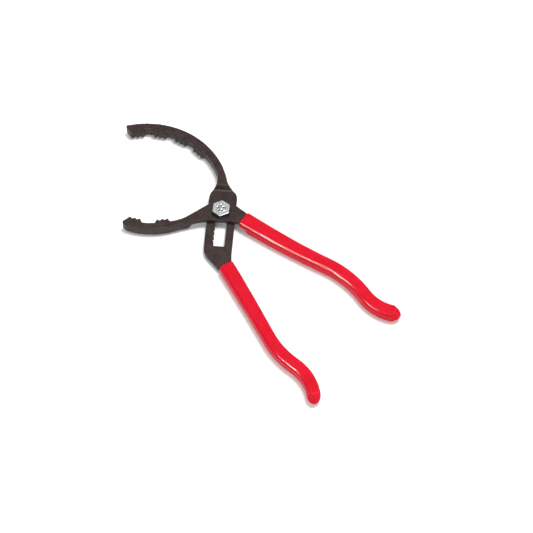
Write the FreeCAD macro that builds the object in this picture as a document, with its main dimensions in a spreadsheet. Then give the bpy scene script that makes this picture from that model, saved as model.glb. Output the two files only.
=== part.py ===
"""Adjustable pliers for oil filters: two forged levers, a slip joint and dipped grips.

Frame: +Z is up through the pivot bolt and z = 0 is the back of the bolt's head. The pivot
axis is x = y = 0, and the adjusting slot runs along Y. Millimetres and degrees.
"""
import FreeCAD, Part
import Sketcher
import math
import os

Vector = FreeCAD.Vector

doc = FreeCAD.newDocument("filter_pliers")

# ---------------------------------------------------------------- driving dimensions
DIMENSIONS = {
    # heights, stacked from the back of the bolt's head
    "head_height": 3.0,
    "lever_thickness": 10.0,
    "joint_thickness": 4.75,
    "shim_thickness": 0.5,
    "spring_washer_thickness": 0.9,
    "nut_height": 4.3,
    "stake_height": 0.3,
    # pivot bolt, nut and washers
    "head_length": 20.0,
    "head_width": 9.2,
    "shank_diameter": 9.5,
    "thread_diameter": 7.9,
    "pivot_clearance": 0.06,
    "neck_left": 4.25,
    "neck_right": 5.05,
    "neck_length": 13.0,
    "neck_tooth_height": 1.35,
    "neck_tip_play": 0.15,
    "neck_root_play": 0.25,
    "latch_play": 0.2,
    "nut_across_flats": 14.3,
    "nut_face_diameter": 15.2,
    "nut_turn": -2.5,
    "nut_chamfer_angle": 25.0,
    "spring_washer_diameter": 15.6,
    "spring_washer_bore": 10.0,
    "spring_washer_gap": 1.0,
    "spring_washer_skew": 1.0,
    "shim_diameter": 17.6,
    "shim_bore": 11.3,
    # adjusting slot and its rack of notches
    "slot_left": 4.4,
    "slot_right": 5.5,
    "slot_top": 7.8,
    "slot_bottom": 32.1,
    "notch_pitch": 4.7,
    "notch_depth": 1.5,
    "notch_mouth": 3.6,
    "notch_floor": 1.5,
    "notch_count": 7,
    # slotted lever
    "strip_half_width": 12.25,
    "jaw_centre_x": -69.0,
    "jaw_centre_y": 13.6,
    "jaw_outer_radius": 73.8,
    "jaw_inner_radius": 67.3,
    "ramp_foot": 24.5,
    "ramp_run": 3.0,
    # teeth, shared by both jaws
    "tooth_centre_x": -70.0,
    "tooth_centre_y": 13.4,
    "tooth_tip_radius": 65.0,
    "tooth_valley_radius": 66.7,
    "recess_radius": 67.8,
    "lower_recess_radius": 68.9,
    "tooth_pitch_angle": 3.9,
    # pivot lever
    "lower_jaw_centre_x": -63.9,
    "lower_jaw_centre_y": 52.3,
    "boss_radius": 13.5,
    "step_radius": 27.5,
    "step_run": 3.0,
    # handles
    "tang_half_width": 4.7,
    "pivot_lever_grip_half_width": 7.1,
    "pivot_lever_grip_bend_half_width": 5.95,
    "slotted_lever_grip_half_width": 6.65,
    "slotted_lever_grip_bend_half_width": 5.7,
    "grip_thickness": 12.6,
    "grip_edge_radius": 4.2,
    "grip_mouth_lead": 2.0,
    "grip_end_wall": 6.0,
    "grip_step_wall": 1.3,
}

sheet = doc.addObject("Spreadsheet::Sheet", "dims")
for row, (alias, value) in enumerate(DIMENSIONS.items(), start=1):
    sheet.set(f"A{row}", alias)
    sheet.set(f"B{row}", str(value))
    sheet.setAlias(f"B{row}", alias)
doc.recompute()


def dim(alias):
    """Number held by one cell of the sheet."""
    return float(sheet.get(alias))


# heights that several parts share
STRIP_TOP = "dims.head_height + dims.joint_thickness"
LEVER_TOP = "dims.head_height + dims.lever_thickness"
NUT_SEAT = LEVER_TOP + " + dims.spring_washer_thickness"
NUT_TOP = NUT_SEAT + " + dims.nut_height"

strip_top = dim("head_height") + dim("joint_thickness")
joint_underside = strip_top + dim("shim_thickness")
lever_top = dim("head_height") + dim("lever_thickness")
nut_seat = lever_top + dim("spring_washer_thickness")
nut_top = nut_seat + dim("nut_height")

OVERCUT = 1.0      # how far a cutting outline reaches past what it cuts
TOUCHING = 1e-6    # gap below which two points are the same point


# ---------------------------------------------------------------- drawing helpers
def new_body(label):
    body = doc.addObject("PartDesign::Body", label)
    body.Label = label
    return body


def new_sketch(body, name, plane="XY_Plane", height=None):
    """Sketch on one of the body's origin planes, raised to an expression's height."""
    sketch = body.newObject("Sketcher::SketchObject", name)
    support = next(item for item in body.Origin.OriginFeatures if item.Role == plane)
    sketch.AttachmentSupport = [(support, "")]
    sketch.MapMode = "FlatFace"
    if height:
        sketch.setExpression("AttachmentOffset.Base.z", height)
    return sketch


def join_ends(sketch, first, second):
    """Coincident constraint between the ends of two edges that already touch."""
    for first_end in (2, 1):
        for second_end in (1, 2):
            gap = sketch.getPoint(first, first_end) - sketch.getPoint(second, second_end)
            if gap.Length < TOUCHING:
                sketch.addConstraint(
                    Sketcher.Constraint("Coincident", first, first_end, second, second_end))
                return
    raise ValueError(f"{sketch.Name}: edges {first} and {second} do not meet")


def draw_outline(sketch, start, steps):
    """Closed outline: a step is an end point, or a middle and an end point for an arc."""
    here = Vector(*start)
    edges = []
    for step in steps + [start]:
        points = [Vector(*point) for point in step] if isinstance(step[0], tuple) else [Vector(*step)]
        if (points[-1] - here).Length < TOUCHING:
            continue
        if len(points) == 2:
            edges.append(Part.Arc(here, points[0], points[1]))
        else:
            edges.append(Part.LineSegment(here, points[0]))
        here = points[-1]
    first = sketch.addGeometry(edges, False)[0]
    last = first + len(edges) - 1
    for index in range(first, last):
        join_ends(sketch, index, index + 1)
    join_ends(sketch, last, first)


def draw_circle(sketch, diameter, centre=(0.0, 0.0)):
    """Circle whose diameter follows an expression."""
    index = sketch.addGeometry(Part.Circle(Vector(*centre), Vector(0, 0, 1), 1.0), False)
    sketch.addConstraint(Sketcher.Constraint("Diameter", index, 2.0))
    sketch.setExpression(f"Constraints[{sketch.ConstraintCount - 1}]", diameter)
    for kind, value in (("DistanceX", centre[0]), ("DistanceY", centre[1])):
        sketch.addConstraint(Sketcher.Constraint(kind, -1, 1, index, 3, value))


def pad(body, sketch, name, length):
    feature = body.newObject("PartDesign::Pad", name)
    feature.Profile = sketch
    feature.setExpression("Length", length)
    doc.recompute()
    return feature


def cut_volume(body, feature):
    """Recompute, and make sure that a cutting feature has removed material."""
    before = feature.BaseFeature.Shape.Volume
    doc.recompute()
    if not feature.Shape.Volume < before - 1e-3:
        raise RuntimeError(f"{body.Label}: {feature.Name} cut nothing")


def pocket(body, sketch, name, length=None, upward=True):
    """Pocket through everything, or to a depth given as an expression."""
    feature = body.newObject("PartDesign::Pocket", name)
    feature.Profile = sketch
    feature.Reversed = upward
    if length:
        feature.setExpression("Length", length)
    else:
        feature.Type = "ThroughAll"
    cut_volume(body, feature)
    return feature


def groove(body, sketch, name):
    """Full turn of a profile on the XZ plane about Z, cut away."""
    feature = body.newObject("PartDesign::Groove", name)
    feature.Profile = sketch
    feature.ReferenceAxis = (sketch, ["V_Axis"])
    feature.Angle = 360.0
    cut_volume(body, feature)
    return feature


def round_edges(body, base, name, radius, wanted):
    """Fillet on the edges of the last feature that pass the test 'wanted'."""
    chosen = [f"Edge{i}" for i, edge in enumerate(base.Shape.Edges, start=1) if wanted(edge)]
    feature = body.newObject("PartDesign::Fillet", name)
    feature.Base = (base, chosen)
    feature.setExpression("Radius", radius)
    doc.recompute()
    return feature


# ---------------------------------------------------------------- shapes in plan
def polar(centre, radius, angle):
    """Point at a radius and an angle in degrees from a centre."""
    turn = math.radians(angle)
    return (centre[0] + radius * math.cos(turn), centre[1] + radius * math.sin(turn))


def arc_step(centre, radius, start_angle, end_angle):
    """Arc about a centre, as the middle and end points of an outline step."""
    middle = polar(centre, radius, (start_angle + end_angle) / 2)
    return (middle, polar(centre, radius, end_angle))


def toothed_edge(centre, group_angles, recess):
    """Outline steps along a jaw's arc: groups of three teeth with shallow recesses between."""
    pitch = dim("tooth_pitch_angle")
    tip, valley = dim("tooth_tip_radius"), dim("tooth_valley_radius")
    reach = 1.5 * pitch
    steps = []
    for number, angle in enumerate(group_angles):
        if number:
            recess_start = group_angles[number - 1] + reach
            steps.append(polar(centre, recess, recess_start))
            steps.append(arc_step(centre, recess, recess_start, angle - reach))
        steps.append(polar(centre, tip, angle - pitch))
        for tooth in (0, 1):
            steps.append(polar(centre, valley, angle + (tooth - 0.5) * pitch))
            steps.append(polar(centre, tip, angle + tooth * pitch))
    return steps


class Handle:
    """A handle's centreline: where it starts, its heading, and arcs as (length, turn)."""

    def __init__(self, start, heading, arcs):
        self.start = start
        self.heading = heading
        self.arcs = arcs

    def path(self, start_half, bend_half, lead=0.0, setback=0.0):
        """Start point and outline steps: out along the left side, round the end, and back.

        The half width narrows along the first arc. The lead is a straight run in front of
        the start, and the setback shortens the end.
        """
        point, heading = self.start, self.heading
        left = [polar(point, start_half, heading + 90)]
        right = [polar(point, start_half, heading - 90)]
        length, turn = self.arcs[-1]
        last_arc = (length - setback, turn * (1 - setback / length))
        before = start_half
        for length, turn in self.arcs[:-1] + [last_arc]:
            radius = length / math.radians(turn)
            centre = polar(point, radius, heading + 90)
            for edge, side in ((left, 1), (right, -1)):
                middle_half = (before + bend_half) / 2
                edge.append(polar(centre, side * middle_half - radius, heading + turn / 2 + 90))
                edge.append(polar(centre, side * bend_half - radius, heading + turn + 90))
            heading += turn
            point = polar(centre, -radius, heading + 90)
            before = bend_half
        tip = polar(point, bend_half, heading)
        steps = arc_pairs(left[1:]) + [(tip, right[-1])] + arc_pairs(right[-2::-1])
        if not lead:
            return left[0], steps
        mouth = polar(self.start, -lead, self.heading)
        mouth_left = polar(mouth, start_half, self.heading + 90)
        mouth_right = polar(mouth, start_half, self.heading - 90)
        return mouth_left, [left[0]] + steps + [mouth_right]


def arc_pairs(points):
    """Groups points in twos, each the middle and the end of an arc."""
    return [(points[i], points[i + 1]) for i in range(0, len(points), 2)]


# The two handles bend alike, each towards the other and back.
PIVOT_HANDLE = Handle((21.4, -6.1), -31.3, [(83.6, 6.8), (43.4, -28.4), (31.0, 45.5)])
SLOTTED_HANDLE = Handle((9.7, -54.0), -56.7, [(76.5, -2.1), (34.2, 25.1), (34.0, -45.7)])
TANG_SHOULDER = 0.4    # full thickness starts this far in front of the slotted handle


# ---------------------------------------------------------------- slotted lever
def slotted_lever():
    """Upper jaw, its neck, the slotted strip and the tang, forged in one piece."""
    body = new_body("slotted_lever")
    centre = (dim("jaw_centre_x"), dim("jaw_centre_y"))
    tooth_centre = (dim("tooth_centre_x"), dim("tooth_centre_y"))
    outer, inner = dim("jaw_outer_radius"), dim("jaw_inner_radius")
    half = dim("strip_half_width")
    tang_start, tang_steps = SLOTTED_HANDLE.path(dim("tang_half_width"), dim("tang_half_width"),
                                                 setback=dim("grip_end_wall"))

    # right side, from the jaw's back down to the tang
    start = polar(centre, outer, 13.4)
    steps = [(4.4, 27.6), (9.3, 24.0), ((11.7, 20.7), (half, 16.0)), (half, -34.0),
             ((12.4, -41.0), (13.3, -48.0)), tang_start]
    steps += tang_steps
    # left side, back up to the throat
    steps += [(1.2, -53.4), (-9.4, -42.2), ((-11.3, -38.8), (-half, -34.5)), (-half, 17.0),
              ((-11.4, 21.4), (-9.8, 24.2)), (-6.5, 27.8), polar(centre, inner, 21.0)]
    # toothed inner edge, from the throat to the tip
    steps.append(arc_step(centre, inner, 21.0, 43.5))
    steps += toothed_edge(tooth_centre, (49.4, 66.5, 83.4, 100.7), dim("recess_radius"))
    # slanted end of the jaw, its rounded outer corner and the jaw's back
    steps += [(-87.7, 76.1), (-92.7, 81.9), ((-92.7, 83.4), (-90.9, 84.0))]
    steps.append(arc_step(centre, outer, 107.3, 13.4))

    sketch = new_sketch(body, "lever_outline", height="dims.head_height")
    draw_outline(sketch, start, steps)
    lever = pad(body, sketch, "forging", "dims.lever_thickness")

    # the joint half: everything between the jaw's ramp and the tang is thinned
    foot, run = dim("ramp_foot"), dim("ramp_run")
    shoulder = polar(SLOTTED_HANDLE.start, -TANG_SHOULDER, SLOTTED_HANDLE.heading)
    wide = 2 * half + OVERCUT
    relief = new_sketch(body, "joint_relief_outline", height=STRIP_TOP)
    draw_outline(relief, (-wide, foot), [
        (wide, foot),
        polar(shoulder, wide, SLOTTED_HANDLE.heading + 90),
        polar(shoulder, wide, SLOTTED_HANDLE.heading - 90)])
    pocket(body, relief, "joint_relief")
    ramp = new_sketch(body, "ramp_profile", "YZ_Plane")
    draw_outline(ramp, (foot - OVERCUT, strip_top), [
        (foot, strip_top), (foot + run, lever_top), (foot + run, lever_top + OVERCUT),
        (foot - OVERCUT, lever_top + OVERCUT)])
    feature = body.newObject("PartDesign::Pocket", "ramp")
    feature.Profile = ramp
    feature.Type = "ThroughAll"
    feature.Midplane = True
    cut_volume(body, feature)

    # slot with its rack of notches in the left rail
    slot = new_sketch(body, "slot_outline", height="dims.head_height")
    left, right = -dim("slot_left"), dim("slot_right")
    draw_outline(slot, (left, -dim("slot_bottom")), [
        (right, -dim("slot_bottom")), (right, dim("slot_top")), (left, dim("slot_top"))])
    pocket(body, slot, "slot")
    notch = new_sketch(body, "notch_outline", height="dims.head_height")
    first = dim("notch_pitch") / 2
    mouth_half, floor_half = dim("notch_mouth") / 2, dim("notch_floor") / 2
    deep = left - dim("notch_depth")
    draw_outline(notch, (left + OVERCUT, first - mouth_half), [
        (left + OVERCUT, first + mouth_half), (left, first + mouth_half),
        (deep, first + floor_half), (deep, first - floor_half), (left, first - mouth_half)])
    first_notch = pocket(body, notch, "first_notch")
    rack = body.newObject("PartDesign::LinearPattern", "rack")
    rack.Originals = [first_notch]
    rack.Direction = (notch, ["V_Axis"])
    rack.Reversed = True
    rack.setExpression("Length", "dims.notch_pitch * (dims.notch_count - 1)")
    rack.setExpression("Occurrences", "dims.notch_count")
    body.Tip = rack
    doc.recompute()
    return body


# ---------------------------------------------------------------- pivot lever
def pivot_lever():
    """Lower jaw, the boss round the pivot hole and the tang, forged in one piece."""
    body = new_body("pivot_lever")
    centre = (dim("lower_jaw_centre_x"), dim("lower_jaw_centre_y"))
    boss = dim("boss_radius")
    tang_start, tang_steps = PIVOT_HANDLE.path(dim("tang_half_width"), dim("tang_half_width"),
                                               setback=dim("grip_end_wall"))

    boss_left, boss_right = 149.6, 36.5
    start = polar((0, 0), boss, boss_right)
    steps = [(22.9, -0.5), tang_start] + tang_steps
    # lower edge, from the tang to the jaw's tip
    steps += [(17.0, -10.4), ((11.5, -9.4), (5.0, -9.0)), (-7.0, -9.3),
              ((-14.0, -9.9), (-20.5, -11.6)), (-34.0, -16.0), ((-39.2, -18.1), (-44.4, -19.9)),
              ((-62.4, -23.0), (-78.8, -21.2)), ((-82.8, -19.6), (-84.7, -17.5)),
              ((-84.6, -16.4), (-83.7, -15.5))]
    # toothed inner edge, from the tip to the throat
    steps += toothed_edge(centre, (-99.1, -78.2), dim("lower_recess_radius"))
    steps += [(-43.7, -13.3), ((-36.8, -11.3), (-30.0, -7.6))]
    steps.append(polar((0, 0), boss, boss_left))
    steps.append(arc_step((0, 0), boss, boss_left, boss_right))

    sketch = new_sketch(body, "lever_outline", height="dims.head_height")
    draw_outline(sketch, start, steps)
    pad(body, sketch, "forging", "dims.lever_thickness")

    # the underside is cleared in a circle about the pivot, up to the joint face
    relief = new_sketch(body, "joint_relief_profile", "XZ_Plane")
    radius, run = dim("step_radius"), dim("step_run")
    draw_outline(relief, (0.0, joint_underside), [
        (radius, joint_underside), (radius + run, dim("head_height")),
        (radius + run, 0.0), (0.0, 0.0)])
    groove(body, relief, "joint_relief")

    hole = new_sketch(body, "pivot_hole_outline", height="dims.head_height")
    draw_circle(hole, "dims.shank_diameter + 2 * dims.pivot_clearance")
    body.Tip = pocket(body, hole, "pivot_hole")
    return body


# ---------------------------------------------------------------- dipped grips
def dipped_grip(label, handle, lever, step_cut):
    """Vinyl skin over a tang: a rounded bar with the lever taken out of it."""
    lead = dim("grip_mouth_lead")
    body = new_body(label + "_bar")
    height = "dims.head_height + (dims.lever_thickness - dims.grip_thickness) / 2"
    sketch = new_sketch(body, "grip_outline", height=height)
    start, steps = handle.path(dim(label + "_half_width"), dim(label + "_bend_half_width"), lead)
    draw_outline(sketch, start, steps)
    bar = pad(body, sketch, "bar", "dims.grip_thickness")
    mouth = Vector(*polar(handle.start, -lead, handle.heading), 0)
    along = Vector(*polar((0, 0), 1.0, handle.heading), 0)

    def ends_behind_mouth(edge):
        level = edge.BoundBox.ZLength < TOUCHING
        return level and max((v.Point - mouth).dot(along) for v in edge.Vertexes) > TOUCHING

    body.Tip = round_edges(body, bar, "rounded_edges", "dims.grip_edge_radius", ends_behind_mouth)
    if step_cut:
        relief = new_sketch(body, "step_relief_profile", "XZ_Plane")
        radius, run = dim("step_radius") - dim("grip_step_wall"), dim("step_run")
        draw_outline(relief, (0.0, joint_underside), [
            (radius, joint_underside), (radius + run, dim("head_height")),
            (radius + run, 0.0), (0.0, 0.0)])
        body.Tip = groove(body, relief, "step_relief")
    skin = doc.addObject("Part::Cut", label)
    skin.Base = body
    skin.Tool = lever
    skin.Label = label
    doc.recompute()
    return skin


# ---------------------------------------------------------------- pivot bolt and nut
def pivot_bolt():
    """T-head across the slot, a toothed neck that fits it, a shoulder and a staked thread."""
    body = new_body("pivot_bolt")
    head = new_sketch(body, "head_outline")
    reach, side = dim("head_length") / 2, dim("head_width") / 2
    corner = math.sqrt(reach ** 2 - side ** 2)
    draw_outline(head, (-corner, -side), [
        (corner, -side), ((reach, 0.0), (corner, side)),
        (-corner, side), ((-reach, 0.0), (-corner, -side))])
    head_pad = pad(body, head, "head", "dims.head_height")
    round_edges(body, head_pad, "head_edge", "dims.head_height / 3",
                lambda edge: edge.BoundBox.ZMax < TOUCHING)

    neck = new_sketch(body, "neck_outline", height="dims.head_height")
    left, right = -dim("neck_left"), dim("neck_right")
    root = left + dim("neck_tooth_height")
    half = dim("neck_length") / 2
    tip_half = dim("notch_floor") / 2 - dim("neck_tip_play")
    root_half = dim("notch_mouth") / 2 - dim("neck_root_play")
    steps = [(right, -half), (right, half), (root, half)]
    for side in (0.5, -0.5):
        tooth = side * dim("notch_pitch")
        steps += [(root, tooth + root_half), (left, tooth + tip_half),
                  (left, tooth - tip_half), (root, tooth - root_half)]
    draw_outline(neck, (root, -half), steps)
    pad(body, neck, "neck", "dims.joint_thickness")

    for name, diameter, bottom, top in (
            ("shank", "dims.shank_diameter", STRIP_TOP, NUT_SEAT),
            ("thread", "dims.thread_diameter", NUT_SEAT, NUT_TOP + " + dims.stake_height")):
        sketch = new_sketch(body, name + "_outline", height=bottom)
        draw_circle(sketch, diameter)
        body.Tip = pad(body, sketch, name, f"{top} - ({bottom})")
    return body


def hexagon(sketch):
    """Regular hexagon sized across its flats, turned a little from corners on the Y axis."""
    corner = dim("nut_across_flats") / math.sqrt(3)
    points = [polar((0, 0), corner, 90 + dim("nut_turn") + 60 * i) for i in range(6)]
    draw_outline(sketch, points[0], points[1:])


def hex_nut():
    body = new_body("hex_nut")
    outline = new_sketch(body, "hexagon", height=NUT_SEAT)
    hexagon(outline)
    pad(body, outline, "prism", "dims.nut_height")
    face = dim("nut_face_diameter") / 2
    outside = dim("nut_across_flats") / math.sqrt(3) + OVERCUT
    drop = (outside - face) * math.tan(math.radians(dim("nut_chamfer_angle")))
    chamfer = new_sketch(body, "chamfer_profile", "XZ_Plane")
    draw_outline(chamfer, (face, nut_top), [
        (outside, nut_top - drop), (outside, nut_top + OVERCUT), (face, nut_top + OVERCUT)])
    groove(body, chamfer, "corner_chamfer")
    hole = new_sketch(body, "thread_outline", height=NUT_SEAT)
    draw_circle(hole, "dims.thread_diameter")
    body.Tip = pocket(body, hole, "thread_hole")
    return body


def ring(label, height, outside, bore, thickness, centre=(0.0, 0.0)):
    """Flat washer standing at a height."""
    body = new_body(label)
    sketch = new_sketch(body, "ring_outline", height=height)
    draw_circle(sketch, outside, centre)
    draw_circle(sketch, bore, centre)
    body.Tip = pad(body, sketch, "washer", thickness)
    return body


def spring_washer():
    """Split ring under the nut, which keeps the joint firm."""
    body = ring("spring_washer", LEVER_TOP, "dims.spring_washer_diameter",
                "dims.spring_washer_bore", "dims.spring_washer_thickness")
    slit = new_sketch(body, "slit_outline", height=LEVER_TOP)
    half, skew = dim("spring_washer_gap") / 2, dim("spring_washer_skew")
    reach = dim("spring_washer_diameter")
    draw_outline(slit, (0.0, -half), [(reach, -half - skew), (reach, half - skew), (0.0, half)])
    body.Tip = pocket(body, slit, "slit")
    return body


lever_with_slot = slotted_lever()
lever_on_pivot = pivot_lever()
neck_play = dim("neck_tooth_height") + dim("latch_play")
PARTS = [
    lever_with_slot,
    lever_on_pivot,
    dipped_grip("slotted_lever_grip", SLOTTED_HANDLE, lever_with_slot, step_cut=False),
    dipped_grip("pivot_lever_grip", PIVOT_HANDLE, lever_on_pivot, step_cut=True),
    pivot_bolt(),
    hex_nut(),
    spring_washer(),
    ring("friction_washer", STRIP_TOP, "dims.shim_diameter", "dims.shim_bore",
         "dims.shim_thickness", centre=(-neck_play / 2, 0.0)),
]

# ---------------------------------------------------------------- checks and export
doc.recompute()
for item in doc.Objects:
    if "Invalid" in item.State or "Error" in item.State:
        raise RuntimeError(f"{item.Label} failed: {item.State}")

os.makedirs("parts", exist_ok=True)
for part in PARTS:
    shape = part.Shape
    if shape.isNull() or not shape.isValid():
        raise RuntimeError(f"{part.Label} has no valid shape")
    shape.exportStep(f"parts/{part.Label}.step")
    print(f"{part.Label}: {len(shape.Solids)} solid(s), {shape.Volume:.0f} mm3")
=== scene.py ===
"""Oil filter wrench: forged slip-joint pliers with dipped vinyl grips, on a pale studio floor.

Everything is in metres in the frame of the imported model: +Z up through the pivot bolt,
the floor at z = 0 under the bolt's head.
"""

import math
import random

import bmesh
import bpy
import numpy as np
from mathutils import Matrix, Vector, noise


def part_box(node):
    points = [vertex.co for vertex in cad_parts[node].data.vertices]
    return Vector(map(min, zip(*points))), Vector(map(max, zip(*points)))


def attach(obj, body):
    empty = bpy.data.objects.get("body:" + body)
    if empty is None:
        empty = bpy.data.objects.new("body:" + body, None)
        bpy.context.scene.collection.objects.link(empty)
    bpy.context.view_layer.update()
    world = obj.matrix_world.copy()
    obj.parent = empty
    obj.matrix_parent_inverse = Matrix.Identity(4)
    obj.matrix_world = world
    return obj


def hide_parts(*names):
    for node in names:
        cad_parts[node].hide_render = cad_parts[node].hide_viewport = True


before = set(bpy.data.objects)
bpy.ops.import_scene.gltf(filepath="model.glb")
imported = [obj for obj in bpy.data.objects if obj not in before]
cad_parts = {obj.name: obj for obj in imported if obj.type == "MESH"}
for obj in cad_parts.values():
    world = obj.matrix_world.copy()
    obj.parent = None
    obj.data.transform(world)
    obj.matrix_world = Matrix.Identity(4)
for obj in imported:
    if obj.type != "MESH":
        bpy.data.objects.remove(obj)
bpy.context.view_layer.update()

MM = 0.001

# heights of the CAD's faces, read from the frame's boxes
JOINT_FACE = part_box("friction_washer")[1].z
LEVER_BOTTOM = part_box("pivot_lever")[0].z
LEVER_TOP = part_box("pivot_lever")[1].z
NUT_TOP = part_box("hex_nut")[1].z
BOLT_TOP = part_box("pivot_bolt")[1].z


# ---------------------------------------------------------------- node helpers
COLOUR_RESULT = 2      # the Mix node's colour output


class Nodes:
    """Builds one material's node tree around its Principled shader."""

    def __init__(self, name, **constants):
        self.material = bpy.data.materials.new(name)
        self.material.use_nodes = True
        self.tree = self.material.node_tree
        self.shader = self.tree.nodes["Principled BSDF"]
        for socket, value in constants.items():
            self.shader.inputs[socket.replace("_", " ")].default_value = value
        self.place = self.add("ShaderNodeTexCoord").outputs["Object"]

    def add(self, kind, inputs=None, **settings):
        node = self.tree.nodes.new(kind)
        for key, value in settings.items():
            setattr(node, key, value)
        for key, value in (inputs or {}).items():
            if isinstance(value, bpy.types.NodeSocket):
                self.tree.links.new(value, node.inputs[key])
            else:
                node.inputs[key].default_value = value
        return node

    def noise(self, size, detail=3.0, roughness=0.55, distortion=0.0):
        """Noise whose largest features are about 'size' metres."""
        return self.add("ShaderNodeTexNoise", {
            "Vector": self.place, "Scale": 1 / size, "Detail": detail,
            "Roughness": roughness, "Distortion": distortion}).outputs["Fac"]

    def span(self, value, low, high, to_low=0.0, to_high=1.0):
        """Maps low..high onto to_low..to_high, clamped."""
        return self.add("ShaderNodeMapRange", {
            "Value": value, "From Min": low, "From Max": high,
            "To Min": to_low, "To Max": to_high}).outputs["Result"]

    def math(self, operation, first, second):
        return self.add("ShaderNodeMath", {0: first, 1: second}, operation=operation).outputs[0]

    def mix(self, factor, first, second):
        """Blend of two colours."""
        node = self.add("ShaderNodeMix", data_type="RGBA")
        first_colour, second_colour = 6, 7
        for key, value in (("Factor", factor), (first_colour, first), (second_colour, second)):
            socket = node.inputs[key]
            if isinstance(value, bpy.types.NodeSocket):
                self.tree.links.new(value, socket)
            else:
                socket.default_value = value if isinstance(value, float) else (*value, 1.0)
        return node.outputs[COLOUR_RESULT]

    def attribute(self, name):
        return self.add("ShaderNodeAttribute", attribute_name=name).outputs["Fac"]

    def set(self, socket, value):
        self.tree.links.new(value, self.shader.inputs[socket])

    def painted_shade_mask(self, reach):
        """Mask for painted shade: 0 in corners and grooves, 1 in the open, within a reach in metres.
        """
        shade = self.add("ShaderNodeAmbientOcclusion", {"Distance": reach}, samples=8)
        return self.span(shade.outputs["AO"], 0.25, 0.80)

    def bump(self, heights):
        """Stacks bumps, given as (height, distance in metres, strength)."""
        normal = None
        for height, distance, strength in heights:
            inputs = {"Height": height, "Distance": distance, "Strength": strength}
            if normal:
                inputs["Normal"] = normal
            normal = self.add("ShaderNodeBump", inputs).outputs["Normal"]
        self.set("Normal", normal)


# ---------------------------------------------------------------- materials
def forged_steel():
    """Dark brown-grey oxide on a forging: mottled and fine grained, with painted shade on its rolled
    edges and in its hollows.
    """
    n = Nodes("forged_steel_oxide", Metallic=0.1, Specular_IOR_Level=0.13)
    mottle = n.noise(8 * MM, detail=5.0, distortion=0.6)
    grain = n.noise(1.6 * MM, detail=4.0, roughness=0.7)
    tone = n.math("ADD", n.math("MULTIPLY", mottle, 0.45), n.math("MULTIPLY", grain, 0.55))
    steel_colour = n.mix(n.span(tone, 0.38, 0.62), (0.0195, 0.0110, 0.0097), (0.0460, 0.0305, 0.0280))
    edge = n.attribute("edge")
    # painted shade: the rolled edges are darkened towards black
    steel_colour = n.mix(n.math("MULTIPLY", edge, 0.55), steel_colour, (0.008, 0.0042, 0.0038))
    rub = n.math("MULTIPLY", edge, n.span(n.noise(2.5 * MM, detail=4.0), 0.56, 0.72, 0.0, 0.6))
    steel_colour = n.mix(rub, steel_colour, (0.085, 0.070, 0.066))
    # painted shade: darker in corners, grooves and close under other parts
    n.set("Base Color", n.mix(n.painted_shade_mask(3.5 * MM), (0.006, 0.0035, 0.0032), steel_colour))
    n.set("Roughness", n.span(n.noise(2.2 * MM, detail=4.0), 0.3, 0.7, 0.36, 0.52))
    n.bump([(n.noise(6 * MM, detail=2.0), 0.25 * MM, 0.30), (grain, 0.08 * MM, 0.55)])
    return n.material


def red_vinyl():
    """Dipped vinyl: saturated red, glossy, with slow colour drift and a faint skin texture."""
    n = Nodes("red_vinyl_dip", Specular_IOR_Level=0.025)
    drift = n.noise(14 * MM, detail=3.0, distortion=0.4)
    speck = n.noise(1.1 * MM, detail=2.0)
    tone = n.math("ADD", n.math("MULTIPLY", drift, 0.6), n.math("MULTIPLY", speck, 0.4))
    deep, bright = (0.475, 0.0070, 0.0178), (0.535, 0.0100, 0.0242)
    n.set("Base Color", n.mix(n.span(tone, 0.36, 0.64), deep, bright))
    n.set("Roughness", n.span(n.noise(3 * MM, detail=4.0), 0.3, 0.7, 0.07, 0.10))
    n.bump([(n.noise(9 * MM, detail=1.0), 0.10 * MM, 0.25), (speck, 0.01 * MM, 0.30)])
    return n.material


def zinc_steel():
    """Zinc plate: pale, satin, spangled in patches, with a painted highlight on its edges and painted
    shade in its hollows. Its darkening attribute adds painted shade on the nut's sides and darker
    marks on the bolt's end.
    """
    n = Nodes("zinc_plate", Metallic=0.88, Specular_IOR_Level=0.5)
    spangle = n.noise(1.5 * MM, detail=5.0, roughness=0.65)
    fine = n.noise(0.35 * MM, detail=2.0)
    tone = n.math("ADD", n.math("MULTIPLY", spangle, 0.7), n.math("MULTIPLY", fine, 0.3))
    zinc_colour = n.mix(n.span(tone, 0.38, 0.60), (0.35, 0.36, 0.37), (0.56, 0.57, 0.58))
    # painted highlight: the edges are lightened to near white
    zinc_colour = n.mix(n.math("MULTIPLY", n.attribute("edge"), 0.6), zinc_colour, (0.85, 0.86, 0.87))
    # painted shade on the nut's side walls, and darker punch marks and rim on the bolt's end
    zinc_colour = n.mix(n.attribute("painted_shade_and_dark_marks"), zinc_colour, (0.020, 0.018, 0.017))
    # painted shade: darker in corners and close under other parts
    n.set("Base Color", n.mix(n.painted_shade_mask(1.5 * MM), (0.020, 0.016, 0.015), zinc_colour))
    n.set("Roughness", n.span(spangle, 0.3, 0.7, 0.24, 0.38))
    n.bump([(fine, 0.03 * MM, 0.5)])
    return n.material


def spring_steel():
    """Black phosphate on the washers, rubbed grey where the edges touch."""
    n = Nodes("spring_steel_phosphate", Metallic=0.5, Specular_IOR_Level=0.4)
    mottle = n.noise(2.5 * MM, detail=4.0)
    black = n.mix(n.span(mottle, 0.35, 0.65), (0.012, 0.011, 0.011), (0.032, 0.029, 0.028))
    rub = n.math("MULTIPLY", n.attribute("edge"), n.span(mottle, 0.4, 0.6))
    n.set("Base Color", n.mix(rub, black, (0.13, 0.12, 0.12)))
    n.set("Roughness", n.span(mottle, 0.3, 0.7, 0.38, 0.58))
    n.bump([(n.noise(0.5 * MM), 0.03 * MM, 0.5)])
    return n.material


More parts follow.
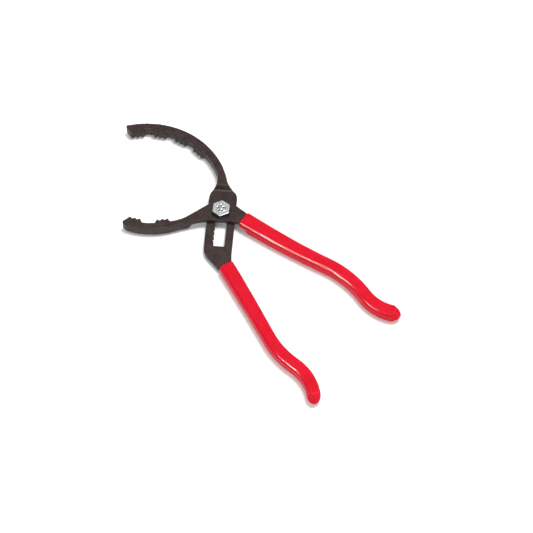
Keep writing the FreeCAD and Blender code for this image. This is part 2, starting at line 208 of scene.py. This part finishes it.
def floor_paint():
    n = Nodes("studio_floor", Specular_IOR_Level=0.1, Roughness=0.9)
    n.set("Base Color", n.mix(n.noise(0.4), (0.92, 0.92, 0.92), (0.95, 0.95, 0.95)))
    return n.material


STEEL = forged_steel()
VINYL = red_vinyl()
ZINC = zinc_steel()
SPRING = spring_steel()


# ---------------------------------------------------------------- pieces
def new_piece(name, mesh, material, body, replaced):
    """Links a finished mesh as a piece that rides on a body and stands for CAD nodes."""
    piece = bpy.data.objects.new(name, mesh)
    bpy.context.scene.collection.objects.link(piece)
    mesh.materials.clear()
    mesh.materials.append(material)
    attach(piece, body)
    if replaced:
        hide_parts(replaced)
    return piece


def write_attribute(mesh, name, values):
    mesh.attributes.new(name, "FLOAT", "POINT").data.foreach_set("value", values)


def smooth_shading(piece, angle=38.0):
    piece.data.polygons.foreach_set("use_smooth", [True] * len(piece.data.polygons))
    piece.data.set_sharp_from_angle(angle=math.radians(angle))
    piece.modifiers.new("even_normals", "WEIGHTED_NORMAL").keep_sharp = True


def link_draft(name, mesh):
    draft = bpy.data.objects.new(name + "_draft", mesh)
    bpy.context.scene.collection.objects.link(draft)
    return draft


def finished_mesh(draft, name):
    """The draft's mesh with its modifiers applied. The draft is removed."""
    mesh = bpy.data.meshes.new_from_object(draft.evaluated_get(bpy.context.evaluated_depsgraph_get()))
    mesh.name = name
    bpy.data.objects.remove(draft)
    return mesh


def neighbour_mean(edges, counts, values):
    """Mean of each vertex's neighbours."""
    total = np.zeros_like(values)
    np.add.at(total, edges[:, 0], values[edges[:, 1]])
    np.add.at(total, edges[:, 1], values[edges[:, 0]])
    return total / (counts[:, None] if values.ndim == 2 else counts)


WELD = 0.002 * MM       # vertices closer than this are one
VOXEL = 0.50 * MM
RELAX_STEPS = 3
CONVEX_FULL = 0.16     # bend, in voxels, at which the attribute 'edge' is 1
EDGE_BLURS = 2
FORGE_SIZES = ((7 * MM, 0.05 * MM), (2 * MM, 0.03 * MM))     # size and height of the unevenness


def vector_array(items, key):
    values = np.empty(len(items) * 3)
    items.foreach_get(key, values)
    return values.reshape(-1, 3)


def forged_piece(name, node, body, machined):
    """The CAD node's shape as a forging: finely remeshed, relaxed to soft edges, faintly uneven.

    machined says whether a point is on a face that stays true. The attribute 'edge' holds how
    convex each point is.
    """
    draft = link_draft(name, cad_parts[node].data.copy())
    draft.modifiers.new("joined", "WELD").merge_threshold = WELD
    voxels = draft.modifiers.new("voxels", "REMESH")
    voxels.mode, voxels.voxel_size = "VOXEL", VOXEL
    relax = draft.modifiers.new("relaxed", "SMOOTH")
    relax.factor, relax.iterations = 0.5, RELAX_STEPS
    mesh = finished_mesh(draft, name)

    place = vector_array(mesh.vertices, "co")
    normals = vector_array(mesh.vertices, "normal")
    edges = np.empty(len(mesh.edges) * 2, dtype=np.int32)
    mesh.edges.foreach_get("vertices", edges)
    edges = edges.reshape(-1, 2)
    counts = np.maximum(np.bincount(edges.ravel(), minlength=len(place)), 1).astype(float)
    convex = -np.einsum("ij,ij->i", neighbour_mean(edges, counts, place) - place, normals) / VOXEL
    for _ in range(EDGE_BLURS):
        convex = (convex + neighbour_mean(edges, counts, convex)) / 2
    write_attribute(mesh, "edge", np.clip(convex / CONVEX_FULL, 0.0, 1.0))

    for i, (spot, normal) in enumerate(zip(place, normals)):
        if not machined(spot):
            place[i] += normal * sum(height * noise.noise(Vector(spot) / size)
                                     for size, height in FORGE_SIZES)
    mesh.vertices.foreach_set("co", place.ravel())
    mesh.polygons.foreach_set("use_smooth", [True] * len(mesh.polygons))
    return new_piece(name, mesh, STEEL, body, node)


RAILS_HALF_WIDTH = 12.5 * MM
RAILS_SPAN = (-36 * MM, 14 * MM)
JOINT_REACH = 26 * MM
TOP_SKIN = 0.3 * MM


def slotted_machined(spot):
    """The slot and its rails."""
    return abs(spot[0]) < RAILS_HALF_WIDTH and RAILS_SPAN[0] < spot[1] < RAILS_SPAN[1]


def pivot_machined(spot):
    """The joint faces round the pivot hole."""
    return math.hypot(spot[0], spot[1]) < JOINT_REACH and spot[2] < LEVER_TOP - TOP_SKIN


FLAT_ANGLE = math.radians(0.6)     # faces closer in direction than this are joined
HARD_ANGLE = math.radians(24)      # edges that bend more than this are rolled
SIDE_SLOPE = 0.3                   # largest upward part of a side wall's normal


def eased_metal(name, node, material, body, radius, cut_above=None, painted_shade_on_sides=0.0):
    """The CAD node's own shape with its flat faces joined up and its edges rolled over.

    cut_above takes away what is over a height. The side-wall argument is painted shade put on the
    walls, held in the same attribute as the bolt end's dark marks.
    """
    bm = bmesh.new()
    bm.from_mesh(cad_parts[node].data)
    bmesh.ops.remove_doubles(bm, verts=bm.verts, dist=WELD)
    if cut_above:
        geometry = bm.verts[:] + bm.edges[:] + bm.faces[:]
        cut = bmesh.ops.bisect_plane(bm, geom=geometry, plane_co=(0, 0, cut_above),
                                     plane_no=(0, 0, 1), clear_outer=True)
        rim = [item for item in cut["geom_cut"] if isinstance(item, bmesh.types.BMEdge)]
        bmesh.ops.holes_fill(bm, edges=rim)
    bmesh.ops.dissolve_limit(bm, angle_limit=FLAT_ANGLE, verts=bm.verts, edges=bm.edges)
    hard = [e for e in bm.edges
            if len(e.link_faces) == 2 and e.calc_face_angle(0.0) > HARD_ANGLE]
    rolled = bmesh.ops.bevel(bm, geom=hard, offset=radius, offset_type="OFFSET", segments=3,
                             profile=0.5, affect="EDGES", clamp_overlap=False)
    band = set(rolled["faces"])
    bmesh.ops.recalc_face_normals(bm, faces=bm.faces)
    bm.normal_update()
    edge = [1.0 if all(f in band for f in v.link_faces) else 0.0 for v in bm.verts]
    # painted shade on the side walls
    painted_shade_and_dark_marks = [painted_shade_on_sides if any(abs(f.normal.z) < SIDE_SLOPE for f in v.link_faces) else 0.0
            for v in bm.verts]
    mesh = bpy.data.meshes.new(name)
    bm.to_mesh(mesh)
    bm.free()
    write_attribute(mesh, "edge", edge)
    write_attribute(mesh, "painted_shade_and_dark_marks", painted_shade_and_dark_marks)
    piece = new_piece(name, mesh, material, body, node)
    smooth_shading(piece)
    return piece


# ---------------------------------------------------------------- dipped grips
class Handle:
    """A tang's centreline in plan: a start, a heading in degrees, and arcs as (length, turn)."""

    def __init__(self, start, heading, arcs):
        self.start = Vector(start)
        self.heading = heading
        self.arcs = arcs
        self.length = sum(length for length, turn in arcs)

    def at(self, distance):
        """Point and unit direction at a distance along, straight before and after the arcs."""
        point, heading = self.start.copy(), math.radians(self.heading)
        left = distance
        for length, turn in self.arcs:
            if left <= 0.0:
                break
            step = min(left, length)
            curve = math.radians(turn) / length
            chord = 2 * math.sin(curve * step / 2) / curve
            middle = heading + curve * step / 2
            point += chord * Vector((math.cos(middle), math.sin(middle)))
            heading += curve * step
            left -= step
        along = Vector((math.cos(heading), math.sin(heading)))
        return point + left * along, along


CORNER_POINTS = 12
FLAT_POINTS = 4
SECTION_POINTS = 4 * (CORNER_POINTS + FLAT_POINTS)


def rounded_section(half_width, half_thickness, corner):
    """Points round a rectangle with rounded corners, as (across, up)."""
    flat_x, flat_z = half_width - corner, half_thickness - corner
    points = []
    for quarter, (sx, sz) in enumerate(((1, 1), (-1, 1), (-1, -1), (1, -1))):
        for i in range(CORNER_POINTS):
            turn = math.radians(90 * quarter + 90 * i / (CORNER_POINTS - 1))
            points.append(Vector((sx * flat_x + corner * math.cos(turn),
                                  sz * flat_z + corner * math.sin(turn))))
        start = points[-1]
        run = Vector((-2 * sx * flat_x, 0)) if quarter % 2 == 0 else Vector((0, -2 * sz * flat_z))
        for i in range(1, FLAT_POINTS + 1):
            points.append(start + run * (i / (FLAT_POINTS + 1)))
    return points


def blend(low, high, t):
    return low + (high - low) * t


def smoothstep(t):
    t = min(max(t, 0.0), 1.0)
    return t * t * (3 - 2 * t)


RING_STEP = 1.2 * MM
LIP_RINGS = 6
CAP_RINGS = 16
GRIP_HALF_THICKNESS = 6.3 * MM
GRIP_MIDDLE = (LEVER_BOTTOM + LEVER_TOP) / 2
MOUTH_LEAD = 2.0 * MM          # how far the mouth is in front of the handle's start
LIP_LENGTH = 1.8 * MM
SKIN = 1.4 * MM                # thickness of the vinyl, taken off at the lip
CORNER = 3.1 * MM
FULLEST_CORNER = 0.98          # corner radius at the tip, over the smaller half size
CAP_OVERLAP = 1.6 * MM         # how far the domed end reaches back into the handle
CAP_DROOP = 1.2 * MM           # how much lower the tip is than the grip's middle
CAP_ROUNDING = 2.2             # how soon the corners fill out along the dome
WIDTH_DOME = (2.6, 0.70)       # exponents of the dome in plan
THICKNESS_DOME = (2.2, 0.60)   # and from the side
SWELL_SIZE = 11 * MM
SWELL = 0.012
NOISE_SPREAD = 50.0            # range of the random offset between the grips' unevenness


def dome(u, exponents):
    """1 at the dome's start and 0 at its tip."""
    inner, outer = exponents
    return max(1 - u ** inner, 0.0) ** outer


def grip_stations(cap_start, cap):
    """Distances along the handle at which the skin has a ring: lip, body and dome."""
    body_start = -MOUTH_LEAD + LIP_LENGTH
    body_rings = round((cap_start - body_start) / RING_STEP)
    lip = [-MOUTH_LEAD + LIP_LENGTH * (1 - math.cos(math.pi / 2 * i / LIP_RINGS))
           for i in range(LIP_RINGS)]
    body = [blend(body_start, cap_start, i / body_rings) for i in range(body_rings)]
    return lip + body + [cap_start + cap * math.sin(math.pi / 2 * i / CAP_RINGS)
                         for i in range(CAP_RINGS)]


def dipped_grip(name, node, body, handle, half_width, bend_half_width, seed, floor_at):
    """Vinyl skin swept along a tang: a rolled lip, a soft rectangular section and a domed end.

    floor_at gives the lowest height that the skin may reach at a point in plan.
    """
    random.seed(seed)
    offset = Vector([random.uniform(0, NOISE_SPREAD) for _ in range(3)])
    narrowing = handle.arcs[0][0]
    total = handle.length + bend_half_width
    cap = bend_half_width + CAP_OVERLAP
    cap_start = total - cap

    bm = bmesh.new()
    rings = []
    for s in grip_stations(cap_start, cap):
        point, along = handle.at(s)
        across = Vector((-along.y, along.x))
        lip = min((s + MOUTH_LEAD) / LIP_LENGTH, 1.0)
        skin_share = math.sqrt(max(1 - (1 - lip) ** 2, 0.0))
        u = max((s - cap_start) / cap, 0.0)
        width = blend(half_width, bend_half_width, smoothstep(s / narrowing))
        width = (width - SKIN * (1 - skin_share)) * dome(u, WIDTH_DOME)
        thick = (GRIP_HALF_THICKNESS - SKIN * (1 - skin_share)) * dome(u, THICKNESS_DOME)
        middle = GRIP_MIDDLE - CAP_DROOP * u * u
        roundest = min(width, thick) * FULLEST_CORNER
        corner = blend(min(CORNER, roundest), roundest, smoothstep(CAP_ROUNDING * u))
        ring = []
        for x, z in rounded_section(width, thick, corner):
            spot = point + across * x
            wobble = noise.noise(Vector((spot.x, spot.y, middle + z)) / SWELL_SIZE + offset)
            swell = 1 + SWELL * wobble * skin_share
            spot = point + across * x * swell
            height = max(middle + z * swell, floor_at(spot))
            ring.append(bm.verts.new((spot.x, spot.y, height)))
        rings.append(ring)
    for before, after in zip(rings, rings[1:]):
        for i in range(SECTION_POINTS):
            j = (i + 1) % SECTION_POINTS
            bm.faces.new((before[i], before[j], after[j], after[i]))
    point, _ = handle.at(total)
    tip = bm.verts.new((point.x, point.y, GRIP_MIDDLE - CAP_DROOP))
    last = rings[-1]
    for i in range(SECTION_POINTS):
        bm.faces.new((last[i], last[(i + 1) % SECTION_POINTS], tip))
    bm.faces.new(list(reversed(rings[0])))
    bmesh.ops.recalc_face_normals(bm, faces=bm.faces)
    mesh = bpy.data.meshes.new(name)
    bm.to_mesh(mesh)
    bm.free()
    piece = new_piece(name, mesh, VINYL, body, node)
    mesh.polygons.foreach_set("use_smooth", [True] * len(mesh.polygons))
    return piece


PIVOT_HANDLE = Handle((21.4 * MM, -6.1 * MM), -31.3,
                      [(83.6 * MM, 6.8), (43.4 * MM, -28.4), (31.0 * MM, 45.5)])
SLOTTED_HANDLE = Handle((9.7 * MM, -54.0 * MM), -56.7,
                        [(76.5 * MM, -2.1), (34.2 * MM, 25.1), (34.0 * MM, -45.7)])

STEP_RADIUS = 26.2 * MM
STEP_RUN = 3.0 * MM
STEP_SLOPE = (JOINT_FACE - LEVER_BOTTOM) / STEP_RUN
SKIN_UNDER_JOINT = 0.1 * MM


def above_strip(spot):
    """The pivot grip clears the slotted lever near the joint."""
    return JOINT_FACE - SKIN_UNDER_JOINT - STEP_SLOPE * max(spot.length - STEP_RADIUS, 0.0)


def no_floor(spot):
    return 0.0


# ---------------------------------------------------------------- staked bolt end
PUNCHES = ((2.7, 170, 1.0), (2.3, 22, 0.9), (2.9, 92, 0.6), (2.6, 228, 0.8), (2.4, 292, 0.7))
END_RADIUS = 4.2 * MM
END_RINGS = 16
END_AROUND = 64
END_CLEARANCE = 0.03 * MM      # between the dome's top and the CAD's
DOME_DROP = 0.24 * MM
PUNCH_DEPTH = 0.60 * MM
NIPPLE = (0.16, 0.03 * MM)     # the centre's rise: its reach, over the radius, and height
PUNCH_DARKENING = (1.1, 0.9)        # darkening in the marks: gain, and most
SKIRT_DEPTH = 0.8 * MM         # how far the end's wall runs down inside the nut


def staked_height(x, y):
    """Height and darkening of the staked end at a point in plan."""
    r = math.hypot(x, y) / END_RADIUS
    deepest = 0.0
    for reach, angle, size in PUNCHES:
        turn = math.radians(angle)
        gap = math.hypot(x - reach * MM * math.cos(turn), y - reach * MM * math.sin(turn))
        deepest = max(deepest, math.exp(-(gap / (size * MM)) ** 2))
    reach, rise = NIPPLE
    gain, most = PUNCH_DARKENING
    height = BOLT_TOP - END_CLEARANCE - DOME_DROP * r ** 3 - PUNCH_DEPTH * deepest
    return height + rise * math.exp(-(r / reach) ** 2), min(deepest * gain, most)


def staked_end():
    """The bolt's end peened over the nut: a low dome with darkened punch marks and a darkened thread
    line.
    """
    bm = bmesh.new()
    centre_height, centre_darkening = staked_height(0.0, 0.0)
    middle = bm.verts.new((0.0, 0.0, centre_height))
    painted_shade_and_dark_marks = [centre_darkening]
    previous = [middle] * END_AROUND
    for k in range(1, END_RINGS + 1):
        r = END_RADIUS * k / END_RINGS
        ring = []
        for i in range(END_AROUND):
            turn = 2 * math.pi * i / END_AROUND
            x, y = r * math.cos(turn), r * math.sin(turn)
            z, mark_darkening = staked_height(x, y)
            ring.append(bm.verts.new((x, y, z)))
            painted_shade_and_dark_marks.append(1.0 if k == END_RINGS else mark_darkening)
        for i in range(END_AROUND):
            j = (i + 1) % END_AROUND
            inner = (middle,) if k == 1 else (previous[j], previous[i])
            bm.faces.new(inner + (ring[i], ring[j]))
        previous = ring
    skirt = [bm.verts.new((v.co.x, v.co.y, NUT_TOP - SKIRT_DEPTH)) for v in previous]
    painted_shade_and_dark_marks += [1.0] * END_AROUND
    for i in range(END_AROUND):
        j = (i + 1) % END_AROUND
        bm.faces.new((previous[i], skirt[i], skirt[j], previous[j]))
    bm.faces.new(list(reversed(skirt)))
    bmesh.ops.recalc_face_normals(bm, faces=bm.faces)
    mesh = bpy.data.meshes.new("staked_bolt_end")
    bm.to_mesh(mesh)
    bm.free()
    write_attribute(mesh, "painted_shade_and_dark_marks", painted_shade_and_dark_marks)
    piece = new_piece("staked_bolt_end", mesh, ZINC, "bolt_group", None)
    smooth_shading(piece, 50.0)
    return piece


# ---------------------------------------------------------------- the wrench
forgings = [
    forged_piece("slotted_lever_forging", "slotted_lever", "slotted_half", slotted_machined),
    forged_piece("pivot_lever_forging", "pivot_lever", "pivot_half", pivot_machined)]
eased_metal("pivot_bolt_body", "pivot_bolt", ZINC, "bolt_group", 0.15 * MM,
            cut_above=NUT_TOP - 1.2 * MM)
eased_metal("pivot_nut", "hex_nut", ZINC, "bolt_group", 0.40 * MM, painted_shade_on_sides=0.85)
eased_metal("split_washer", "spring_washer", SPRING, "bolt_group", 0.12 * MM)
eased_metal("thin_washer", "friction_washer", SPRING, "joint_washer", 0.08 * MM)
grips = [
    dipped_grip("slotted_grip_skin", "slotted_lever_grip", "slotted_half", SLOTTED_HANDLE,
                6.65 * MM, 5.7 * MM, 3, no_floor),
    dipped_grip("pivot_grip_skin", "pivot_lever_grip", "pivot_half", PIVOT_HANDLE,
                7.1 * MM, 5.95 * MM, 5, above_strip)]
staked_end()


# ---------------------------------------------------------------- studio
TARGET = Vector((0.04345, -0.04948, 0.00787))
scene = bpy.context.scene


def direction(azimuth, elevation):
    a, e = math.radians(azimuth), math.radians(elevation)
    return Vector((math.cos(e) * math.cos(a), math.cos(e) * math.sin(a), math.sin(e)))


def softbox(name, azimuth, elevation, width, height, radiance, gloss_on=None, distance=1.6):
    """Rectangular lamp at a direction from the target, sized by its angles in degrees.

    A lamp with gloss_on only shows as a reflection, in those pieces.
    """
    lamp = bpy.data.lights.new(name, "AREA")
    lamp.shape = "RECTANGLE"
    lamp.size = 2 * distance * math.tan(math.radians(width / 2))
    lamp.size_y = 2 * distance * math.tan(math.radians(height / 2))
    lamp.energy = radiance * math.pi * lamp.size * lamp.size_y
    holder = bpy.data.objects.new(name, lamp)
    away = direction(azimuth, elevation)
    holder.location = TARGET + distance * away
    holder.rotation_euler = (-away).to_track_quat("-Z", "Y").to_euler()
    scene.collection.objects.link(holder)
    if gloss_on:
        holder.visible_diffuse = False
        lit = bpy.data.collections.new(name + "_lights")
        for piece in gloss_on:
            lit.objects.link(piece)
        holder.light_linking.receiver_collection = lit
    return holder


softbox("key_above", 30, 79, 16, 16, 39.0)
softbox("strip_front_left", -141, 34, 24, 3.4, 3000.0, gloss_on=grips)
softbox("spark_right", -8, 50, 10, 10, 2200.0, gloss_on=grips)
softbox("strip_front", -98, 48, 36, 8, 75.0, gloss_on=forgings)
softbox("fill_front", -105, 30, 40, 24, 2.8).visible_glossy = False

world = bpy.data.worlds.new("studio")
world.use_nodes = True
world.node_tree.nodes["Background"].inputs["Color"].default_value = (1.0, 1.0, 1.0, 1.0)
world.node_tree.nodes["Background"].inputs["Strength"].default_value = 0.60
scene.world = world
scene.view_settings.view_transform = "Standard"

floor_mesh = bpy.data.meshes.new("studio_floor")
FLOOR_HALF = 4.0
corners = [(x * FLOOR_HALF, y * FLOOR_HALF, 0.0) for x, y in ((-1, -1), (1, -1), (1, 1), (-1, 1))]
floor_mesh.from_pydata(corners, [], [(0, 1, 2, 3)])
floor = bpy.data.objects.new("studio_floor", floor_mesh)
floor_mesh.materials.append(floor_paint())
scene.collection.objects.link(floor)

camera_data = bpy.data.cameras.new("camera")
camera_data.lens = 125.66
camera_data.sensor_width = 36.0
camera = bpy.data.objects.new("camera", camera_data)
camera.location = (0.10566, -0.84705, 1.39351)
camera.rotation_euler = (TARGET - camera.location).to_track_quat("-Z", "Y").to_euler()
scene.collection.objects.link(camera)
scene.camera = camera

bpy.context.view_layer.update()
